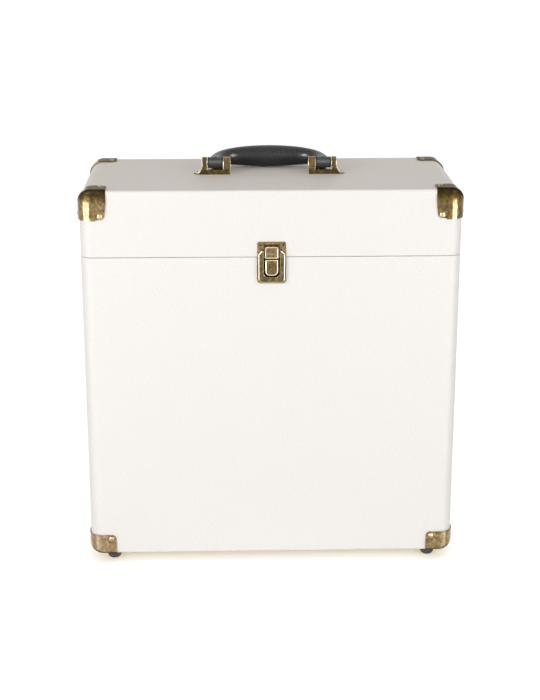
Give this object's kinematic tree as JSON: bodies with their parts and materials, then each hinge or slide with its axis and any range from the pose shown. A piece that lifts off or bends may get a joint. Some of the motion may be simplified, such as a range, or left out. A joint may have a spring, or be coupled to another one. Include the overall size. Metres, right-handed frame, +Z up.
{
  "type": "record carrying case",
  "caption": "Tall covered board case for records with a hinged lid, stamped metal corners, a press latch and a folding carrying handle.",
  "frame": {"origin": "on the floor, under the middle of the whole part", "axes": "+X to the right seen from the front, +Y from the front to the hinges, +Z up"},
  "size_m": [0.3766, 0.1816, 0.4087],
  "materials": {
    "leatherette": "fine-grained cream leatherette over board",
    "lining": "matte woven lining cloth",
    "antique_brass": "antique brass with dark patina in the hollows",
    "black_grip": "pebbled black moulding, half gloss",
    "foot_rubber": "dark rubber",
    "steel": "plain steel"
  },
  "bodies": {
    "case_body": {"body_shell": "leatherette", "body_lining": "lining", "mouth_lip": "lining", "corner_bottom_front_left": "antique_brass", "nail_bottom_front_left_wide": "antique_brass", "nail_bottom_front_left_cap": "antique_brass", "nail_bottom_front_left_side": "antique_brass", "corner_bottom_front_right": "antique_brass", "nail_bottom_front_right_wide": "antique_brass", "nail_bottom_front_right_cap": "antique_brass", "nail_bottom_front_right_side": "antique_brass", "corner_bottom_back_left": "antique_brass", "nail_bottom_back_left_wide": "antique_brass", "nail_bottom_back_left_cap": "antique_brass", "nail_bottom_back_left_side": "antique_brass", "corner_bottom_back_right": "antique_brass", "nail_bottom_back_right_wide": "antique_brass", "nail_bottom_back_right_cap": "antique_brass", "nail_bottom_back_right_side": "antique_brass", "foot_front_left": "foot_rubber", "foot_front_right": "foot_rubber", "foot_back_left": "foot_rubber", "foot_back_right": "foot_rubber", "latch_base": "antique_brass", "latch_spring": "steel", "hinge_body_leaf_left": "antique_brass", "hinge_body_leaf_right": "antique_brass", "hinge_pin_left": "steel", "hinge_pin_right": "steel"},
    "lid": {"lid_shell": "leatherette", "lid_lining": "lining", "corner_top_front_left": "antique_brass", "nail_top_front_left_wide": "antique_brass", "nail_top_front_left_cap": "antique_brass", "nail_top_front_left_side": "antique_brass", "corner_top_front_right": "antique_brass", "nail_top_front_right_wide": "antique_brass", "nail_top_front_right_cap": "antique_brass", "nail_top_front_right_side": "antique_brass", "corner_top_back_left": "antique_brass", "nail_top_back_left_wide": "antique_brass", "nail_top_back_left_cap": "antique_brass", "nail_top_back_left_side": "antique_brass", "corner_top_back_right": "antique_brass", "nail_top_back_right_wide": "antique_brass", "nail_top_back_right_cap": "antique_brass", "nail_top_back_right_side": "antique_brass", "handle_bracket_left": "antique_brass", "handle_bracket_right": "antique_brass", "handle_pin_left": "steel", "handle_pin_right": "steel", "latch_lid_plate": "antique_brass", "latch_hasp_pin": "steel", "hinge_lid_leaf_left": "antique_brass", "hinge_lid_leaf_right": "antique_brass"},
    "handle": {"handle_grip": "black_grip"},
    "hasp": {"latch_hasp": "antique_brass"},
    "button": {"latch_button": "antique_brass"}
  },
  "joints": [
    {"name": "lid_hinge", "type": "hinge", "parent": "case_body", "child": "lid", "pos_m": [0, 0.0888, 0.3211], "axis": [-1, 0, 0], "range_deg": [0, 105]},
    {"name": "handle_swing", "type": "hinge", "parent": "lid", "child": "handle", "pos_m": [0, 0, 0.3978], "axis": [1, 0, 0], "range_deg": [0, 180]},
    {"name": "hasp_swing", "type": "hinge", "parent": "lid", "child": "hasp", "pos_m": [0, -0.0891, 0.3308], "axis": [-1, 0, 0], "range_deg": [0, 110]},
    {"name": "button_press", "type": "slide", "parent": "case_body", "child": "button", "axis": [0, 1, 0], "range_m": [0, 0.0013], "stiffness_N_per_m": 600, "springref_m": -0.002, "deforming": ["latch_spring"]}
  ]
}
